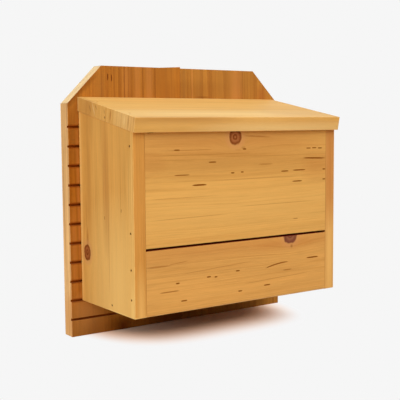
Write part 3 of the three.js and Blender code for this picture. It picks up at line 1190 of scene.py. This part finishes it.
@dataclass
class Brads:
    """The headed brads through the sides and the roof."""

    finish: SteelFinish = SteelFinish("stained brad steel", tint(92, 52, 18), tint(54, 29, 9), 0.5)
    head: float = 1.3 * MM
    shank: float = 0.8 * MM
    length: float = 34.5 * MM
    barbs: int = 6
    barb_start: float = -4.0 * MM
    barb_pitch: float = 0.4 * MM
    barb_length: float = 0.3 * MM
    barb_core: float = 0.93
    steps: int = 20

    def profile(self) -> Profile:
        """Draw the brad's outline: a point, a barbed shank and a crowned head.

        Returns:
            Radius and height pairs from the point up.
        """
        core = self.barb_core * self.shank
        points = [(0.0, -self.length), (0.35 * self.shank, 1.2 * MM - self.length)]
        points.append((core, 2.5 * MM - self.length))
        for barb in range(self.barbs):
            height = self.barb_start + barb * self.barb_pitch
            points += [(core, height), (self.shank, height + self.barb_length)]
        points += [(self.shank, -0.9 * MM), (self.head, -0.75 * MM), (self.head, -0.15 * MM)]
        return points + [(0.8 * self.head, -0.03 * MM), (0.0, 0.0)]

    def build(self, effects: Effects) -> list[bpy.types.Object]:
        """Build every brad.

        Args:
            effects: The shared node groups.

        Returns:
            The pieces.
        """
        material = self.finish.build(effects)
        slope = Vector((0.0, -math.sin(ROOF_SLOPE), math.cos(ROOF_SLOPE)))
        made = []
        for side, sign in (("left", -1.0), ("right", 1.0)):
            ways = {f"roof_brad_{side}_{end}": slope for end in ("rear", "front")}
            fronts = [f"{board}_brad_{side}_{end}" for board in ("upper", "lower") for end in ("high", "low")]
            ways |= dict.fromkeys((*fronts, f"roost_brad_{side}"), Vector((sign, 0.0, 0.0)))
            for node, outward in ways.items():
                mesh = turned(self.profile(), self.steps)
                mesh.transform(head_place(node, outward))
                made.append(finish_piece(mesh, f"{node}_steel", material, node))
        return made


@dataclass
class Screws:
    """The countersunk screws that go through the plate from behind."""

    finish: SteelFinish = SteelFinish("zinc screw steel", tint(196, 190, 172), tint(140, 132, 112), 0.3)
    head: float = 4.0 * MM
    core: float = 1.45 * MM
    thread: float = 2.0 * MM
    length: float = 39.6 * MM
    pitch: float = 1.6 * MM
    thread_end: float = -12.0 * MM
    steps: int = 24
    turn: float = 0.6
    recess: float = 2.2 * MM
    recess_width: float = 0.9 * MM
    recess_depth: float = 2.0 * MM
    above: float = 0.6 * MM

    def profile(self) -> Profile:
        """Draw the screw's outline: a point, a threaded shank and a countersunk head.

        Returns:
            Radius and height pairs from the point up.
        """
        points = [(0.0, -self.length), (0.8 * MM, 2.2 * MM - self.length)]
        height = 4.0 * MM - self.length
        while height < self.thread_end:
            crest = [(self.thread, height + share * self.pitch) for share in (0.45, 0.55)]
            points += [(self.core, height), *crest]
            height += self.pitch
        neck, head = 0.9 * self.thread, self.head
        points += [(self.core, -11 * MM), (neck, -10.5 * MM), (neck, -2.9 * MM), (0.97 * head, -0.5 * MM)]
        return points + [(head, -0.3 * MM), (0.98 * head, -0.04 * MM), (0.92 * head, 0.0), (0.0, 0.0)]

    def cross(self) -> bpy.types.Object:
        """Make the tapered cross that cuts the drive recess.

        Returns:
            The cutter, to be removed after use.
        """
        mesh = bmesh.new()
        for turn in (0.0, math.pi / 2):
            made = bmesh.ops.create_cube(mesh, size=1.0)["verts"]
            for vertex in made:
                deep = vertex.co.z < 0
                vertex.co.x *= 2 * self.recess * (0.45 if deep else 1.0)
                vertex.co.y *= self.recess_width * (0.7 if deep else 1.0)
                vertex.co.z = -self.recess_depth if deep else self.above
            bmesh.ops.rotate(mesh, verts=made, cent=(0, 0, 0), matrix=Matrix.Rotation(turn, 3, "Z"))
        return add_object("cross", mesh)

    def pattern(self) -> bpy.types.Mesh:
        """Make one screw at the origin with its recess cut.

        Returns:
            The screw's mesh, head up.
        """
        blank, cutter = add_object("screw", turned(self.profile(), self.steps)), self.cross()
        cut = blank.modifiers.new("recess", "BOOLEAN")
        cut.operation = "DIFFERENCE"
        cut.solver = "EXACT"
        cut.use_self = True
        cut.object = cutter
        bpy.context.view_layer.update()
        result = bpy.data.meshes.new_from_object(blank.evaluated_get(bpy.context.evaluated_depsgraph_get()))
        result.materials.clear()
        for tool in (blank, cutter):
            bpy.data.objects.remove(tool)
        return result

    def build(self, effects: Effects) -> list[bpy.types.Object]:
        """Build every screw.

        Args:
            effects: The shared node groups.

        Returns:
            The pieces.
        """
        material, pattern = self.finish.build(effects), self.pattern()
        made = []
        for side in ("left", "right"):
            names = [f"side_screw_{side}_{n}" for n in (1, 2, 3)] + [f"roof_screw_{side}_{n}" for n in (1, 2)]
            for count, node in enumerate(names):
                mesh = bmesh.new()
                mesh.from_mesh(pattern)
                turn = Matrix.Rotation(self.turn * count, 4, "Z")
                mesh.transform(head_place(node, Vector((0.0, 1.0, 0.0))) @ turn)
                made.append(finish_piece(mesh, f"{node}_steel", material, node))
        return made


@dataclass
class Studio:
    """The pale floor and backdrop, the lamps and the camera."""

    floor_size: float = 12.0
    floor_height: float = -179.25 * MM
    floor_shown: float = 1.9
    floor_bounce: float = 0.7
    # Warm tint of the floor; in the floor's shade it stands for warm light from the wood, as painted light.
    floor_warmth: Triple = (1.0, 0.82, 0.66)
    # Painted shadow: how far the floor near the box's foot is darkened to the camera, on the left and on the
    # right; the shade values below shape it.
    foot_shade: tuple[float, float] = (0.58, 0.26)
    shade_middle: Triple = (0.009, -0.02, 0.0)
    shade_reach: tuple[float, float] = (0.189, 0.351)
    shade_inset: float = 0.216
    shade_fade: tuple[float, float] = (0.7, 0.975)
    shade_back: tuple[float, float] = (-0.02, -0.004)
    shade_sides: tuple[float, float] = (-0.16, 0.12)
    # Warm colour of the painted shadow's edge.
    shade_edge: Color = tint(246, 182, 134)
    fill: float = 0.2
    backdrop: Color = tint(246, 246, 246)
    eye: Triple = (-0.653, -0.9983, 0.1019)
    yaw: float = 34.941
    pitch: float = 5.291
    roll: float = -0.413
    focal_pixels: float = 827.8
    picture_pixels: float = 400.0
    sensor: float = 36.0
    lamps: tuple[tuple[str, Triple, float, float], ...] = (
        ("key softbox", (0.7, -2.0, 1.5), 1.6, 28.0),
        ("top softbox", (0.1, -0.6, 2.1), 1.8, 20.0),
        ("left softbox", (-2.1, -0.8, 1.0), 1.2, 27.0),
    )

    def build(self) -> None:
        """Build the studio."""
        self.build_floor()
        self.build_world()
        self.build_lamps()
        self.build_camera()

    def seen_by(self, tree: Tree) -> Socket:
        """Give 1 for the camera, glossy and transmission rays, which show the backdrop, and 0 for others."""
        rays, mirrored = tree.add("LightPath").outputs, ("Is Glossy Ray", "Is Transmission Ray")
        return tree.larger(rays["Is Camera Ray"], tree.larger(*(rays[key] for key in mirrored)))

    def build_floor(self) -> None:
        """Lay a pale floor that fades into the backdrop away from the box, with a painted shadow at the box's
        foot besides the one the lamps cast: there the camera sees the floor darker, and the shadow's edge
        turns warm before it fades.
        """
        mesh = bmesh.new()
        bmesh.ops.create_grid(mesh, x_segments=8, y_segments=8, size=self.floor_size / 2)
        mesh.transform(Matrix.Translation((0.0, 0.0, self.floor_height)))
        floor = add_object("floor", mesh)
        material = bpy.data.materials.new("pale floor")
        tree = Tree.of(material)
        place = tree.add("TexCoord").outputs["Object"]
        apart = tree.vector("ABSOLUTE", tree.vector("SUBTRACT", place, self.shade_middle))
        inset = tree.vector("ADD", apart, (0.0, self.shade_inset, 0.0))
        scaled = tree.vector("MULTIPLY", inset, (*(1 / reach for reach in self.shade_reach), 0.0))
        rounded = tree.math("SQRT", tree.vector("LENGTH", tree.vector("MULTIPLY", scaled, scaled)))
        far = tree.ease(rounded, *self.shade_fade)
        across, along, _ = tree.parts(place)
        # The painted shadow's edge is warm, and turns to the backdrop's colour away from the foot and behind
        # the plate.
        edge = tree.larger(far, tree.ease(along, *self.shade_back))
        backdrop_and_painted_penumbra = tree.add("Emission", {"Color": tree.blend(edge, self.shade_edge, self.backdrop)})
        camera = tree.add("LightPath").outputs["Is Camera Ray"]
        shades = (-share * self.floor_shown for share in self.foot_shade)
        shade = tree.ease(across, *self.shade_sides, *shades)
        # Painted shadow: near the foot the camera sees the floor darker, more on the left than on the right.
        lift = tree.times_plus(tree.minus(1.0, far), shade, self.floor_shown - self.floor_bounce)
        shown = tree.times_plus(camera, lift, self.floor_bounce)
        matt = tree.add("BsdfDiffuse", {"Color": tree.scale(self.floor_warmth, shown)})
        mixed = tree.mix(tree.times(far, self.seen_by(tree)), matt, backdrop_and_painted_penumbra)
        back = tree.add("NewGeometry").outputs["Backfacing"]
        tree.show(tree.mix(tree.times(back, camera), mixed, tree.add("BsdfTransparent")))
        floor.data.materials.append(material)

    def build_world(self) -> None:
        """Fill the world with plain light, and show the backdrop's colour to the camera."""
        world = bpy.data.worlds.new("studio")
        bpy.context.scene.world = world
        tree = Tree.of(world)
        fill = tree.add("Background", {"Color": (1.0, 1.0, 1.0, 1.0), "Strength": self.fill})
        shown = tree.add("Background", {"Color": self.backdrop})
        tree.show(tree.mix(self.seen_by(tree), fill, shown), "World")

    def build_lamps(self) -> None:
        """Hang the soft lamps, each aimed at the box."""
        for name, place, size, power in self.lamps:
            data = bpy.data.lights.new(name, "AREA")
            data.shape = "SQUARE"
            data.size = size
            data.energy = power
            lamp = add_object(name, data)
            lamp.location = place
            lamp.rotation_euler = (-Vector(place)).to_track_quat("-Z", "Y").to_euler()

    def build_camera(self) -> None:
        """Stand the camera where the photograph was taken from."""
        yaw, pitch, roll = (math.radians(value) for value in (self.yaw, self.pitch, self.roll))
        forward = Vector((math.sin(yaw) * math.cos(pitch), math.cos(yaw) * math.cos(pitch), -math.sin(pitch)))
        level = Vector((math.cos(yaw), -math.sin(yaw), 0.0))
        upward = level.cross(forward)
        right = level * math.cos(roll) + upward * math.sin(roll)
        tilted = upward * math.cos(roll) - level * math.sin(roll)
        data = bpy.data.cameras.new("camera")
        data.sensor_width = self.sensor
        data.lens = self.focal_pixels * self.sensor / self.picture_pixels
        camera = add_object("camera", data)
        turn = Matrix((right, tilted, -forward)).transposed().to_4x4()
        camera.matrix_world = Matrix.Translation(self.eye) @ turn
        bpy.context.scene.camera = camera
        bpy.context.scene.view_settings.view_transform = "Standard"


def main() -> None:
    """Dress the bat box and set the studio."""
    logging.basicConfig(level=logging.INFO, format="%(message)s")
    effects = Effects()
    pieces: list[bpy.types.Object] = []
    for assembly in (BackPlate(), BoxWalls(), Roof(), Roosts(), Brads(), Screws()):
        pieces += assembly.build(effects)
    Studio().build()
    LOG.info("%d pieces", len(pieces))
    bpy.context.view_layer.update()


if __name__ == "__main__":
    main()
